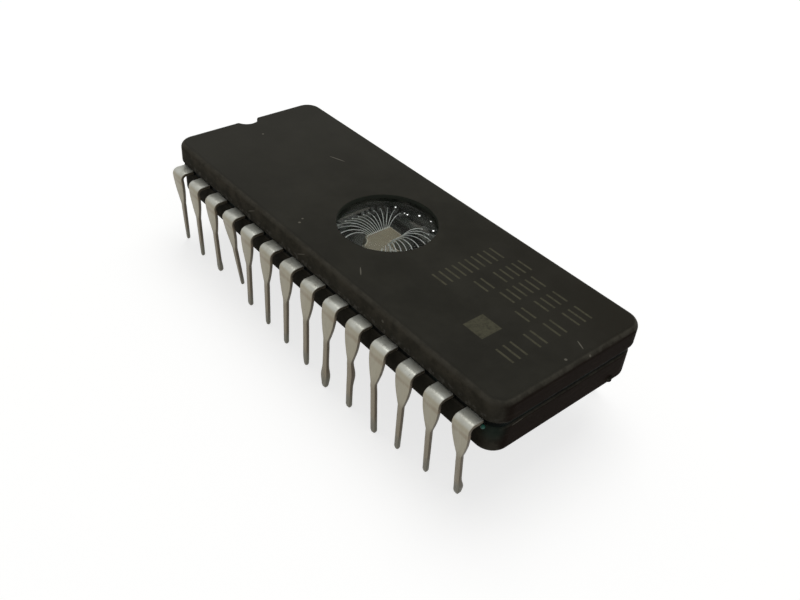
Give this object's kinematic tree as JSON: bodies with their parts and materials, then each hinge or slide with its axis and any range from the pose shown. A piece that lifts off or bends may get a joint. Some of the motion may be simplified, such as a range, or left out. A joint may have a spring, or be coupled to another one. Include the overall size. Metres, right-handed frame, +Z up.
{
  "type": "windowed ceramic memory chip",
  "caption": "Ceramic memory chip with a round glass window over the die and two rows of flat pins, standing on its pin tips.",
  "frame": {"origin": "centre of the two pin rows, on the plane of the pin tips", "axes": "+X along the body away from the index notch, +Y across it away from pins 1 to 14, +Z up"},
  "size_m": [0.0366, 0.0157, 0.0087],
  "materials": {
    "ceramic": "matt",
    "window_glass": "polished",
    "seal_glass": "glossy",
    "silicon": "polished",
    "die_bond": "matt",
    "wire": "drawn",
    "pin_metal": "satin, tinned"
  },
  "bodies": {
    "root": {"ceramic_base": "ceramic", "ceramic_lid": "ceramic", "window_lens": "window_glass", "glass_seal": "seal_glass", "die": "silicon", "die_attach": "die_bond", "bond_wires_notch_end": "wire", "bond_wires_plain_end": "wire", "lead_01": "pin_metal", "lead_02": "pin_metal", "lead_03": "pin_metal", "lead_04": "pin_metal", "lead_05": "pin_metal", "lead_06": "pin_metal", "lead_07": "pin_metal", "lead_08": "pin_metal", "lead_09": "pin_metal", "lead_10": "pin_metal", "lead_11": "pin_metal", "lead_12": "pin_metal", "lead_13": "pin_metal", "lead_14": "pin_metal", "lead_15": "pin_metal", "lead_16": "pin_metal", "lead_17": "pin_metal", "lead_18": "pin_metal", "lead_19": "pin_metal", "lead_20": "pin_metal", "lead_21": "pin_metal", "lead_22": "pin_metal", "lead_23": "pin_metal", "lead_24": "pin_metal", "lead_25": "pin_metal", "lead_26": "pin_metal", "lead_27": "pin_metal", "lead_28": "pin_metal"}
  },
  "joints": []
}
